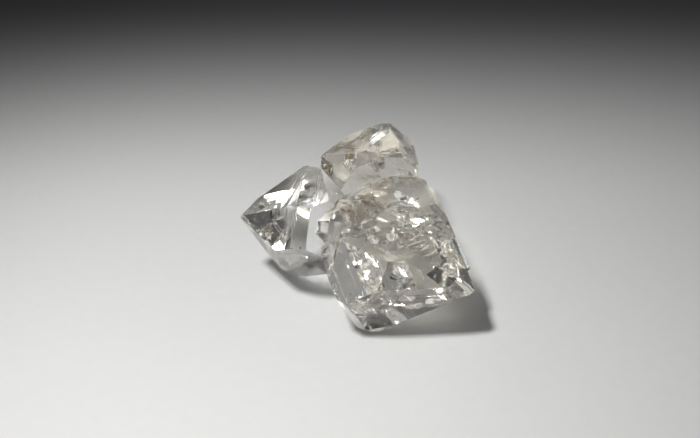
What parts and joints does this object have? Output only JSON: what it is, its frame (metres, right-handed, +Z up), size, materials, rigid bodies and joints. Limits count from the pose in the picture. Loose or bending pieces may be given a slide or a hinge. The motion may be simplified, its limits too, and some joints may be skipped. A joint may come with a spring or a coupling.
{
  "type": "herkimer diamond cluster",
  "caption": "Cluster of doubly terminated quartz crystals grown into each other, clear to smoky-warm, with flat prism and pyramid faces, ledges and a seam between them.",
  "frame": {"origin": "under the middle of the cluster's box, at the height of the surface it rests on", "axes": "+X from the water-clear crystal's side towards the front crystal's right side, +Y from the front crystal towards the rear one, +Z up"},
  "size_m": [0.0216, 0.0242, 0.0129],
  "materials": {
    "quartz": "clear, polished natural faces"
  },
  "bodies": {
    "root": {"crystal_cluster": "quartz"}
  },
  "joints": []
}
